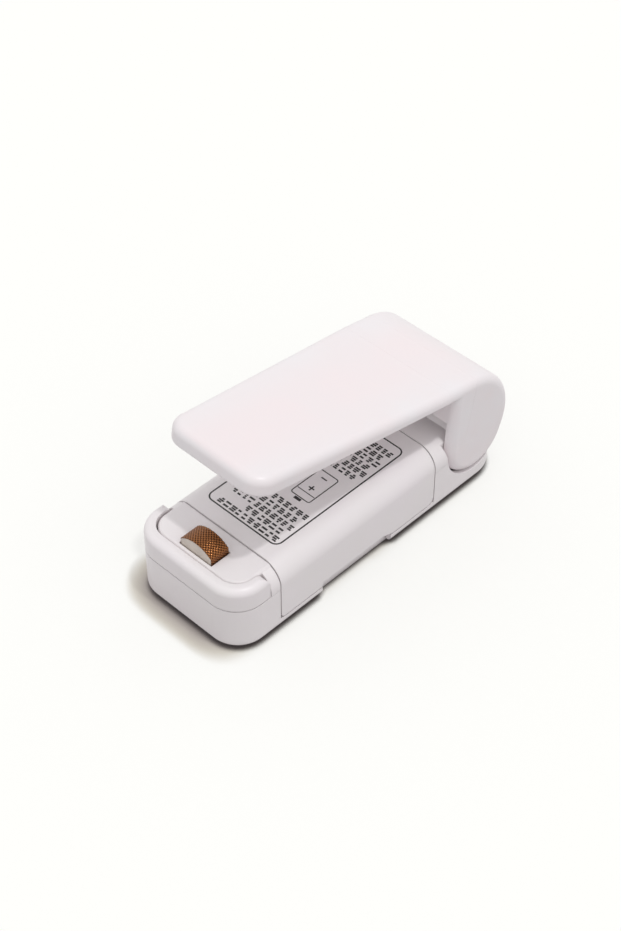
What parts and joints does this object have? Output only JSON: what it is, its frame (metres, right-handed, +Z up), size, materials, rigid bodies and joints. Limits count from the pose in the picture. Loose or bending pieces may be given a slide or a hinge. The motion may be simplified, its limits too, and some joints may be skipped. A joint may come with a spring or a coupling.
{
  "type": "mini bag sealer",
  "caption": "White hand-held heat sealer for snack bags: a hinged lever presses a pad on a small cloth-covered heater at the nose; lift-off battery cover and lifting U-shaped guard.",
  "frame": {"origin": "middle of the underside, on the resting plane", "axes": "+X across the width to the pictured long side, +Y from the heated nose to the hinge, +Z up"},
  "size_m": [0.0388, 0.1004, 0.0508],
  "materials": {
    "white_shell": "satin moulded",
    "white_cover": "satin moulded, printed panel",
    "white_liner": "fine matt",
    "heat_proof_grey": "matt",
    "ribbon": "drawn",
    "release_cloth": "coated glass weave",
    "brass": "plain",
    "lead_black": "satin",
    "lead_red": "satin",
    "cell": "printed sleeve",
    "contact_steel": "plated",
    "spring_steel": "drawn wire",
    "leaf_bronze": "rolled",
    "pin_steel": "ground",
    "screw_steel": "plated",
    "pad_holder": "matt",
    "silicone": "matt"
  },
  "bodies": {
    "base": {"lower_housing": "white_shell", "front_housing": "white_shell", "rear_housing": "white_shell", "heater_block": "heat_proof_grey", "heating_strip": "ribbon", "release_cloth": "release_cloth", "left_terminal": "brass", "right_terminal": "brass", "left_lead": "lead_black", "right_lead": "lead_red", "left_cell": "cell", "right_cell": "cell", "front_plate_contact": "contact_steel", "front_spring_contact": "contact_steel", "front_coil": "spring_steel", "rear_plate_contact": "contact_steel", "rear_spring_contact": "contact_steel", "rear_coil": "spring_steel", "switch_leaf": "leaf_bronze", "return_spring": "spring_steel", "housing_screws": "screw_steel"},
    "lever": {"lever_shell": "white_shell", "lever_liner": "white_liner", "liner_screws": "screw_steel", "hinge_pin": "pin_steel", "pad_holder": "pad_holder", "presser_pad": "silicone"},
    "guard": {"safety_guard": "white_shell"},
    "cover": {"battery_cover": "white_cover"}
  },
  "joints": [
    {"name": "lever_press", "type": "hinge", "parent": "base", "child": "lever", "pos_m": [0, 0.03825, 0.0166], "axis": [1, 0, 0], "range_deg": [0, 14.3], "stiffness_Nm_per_rad": 0.6, "springref_deg": -7.45, "deforming": ["return_spring", "switch_leaf"]},
    {"name": "guard_lift", "type": "slide", "parent": "base", "child": "guard", "axis": [0, 0, 1], "range_m": [0, 0.0032]},
    {"name": "cover_lift", "type": "slide", "parent": "base", "child": "cover", "axis": [0, 0, 1], "range_m": [0, 0.004]}
  ]
}
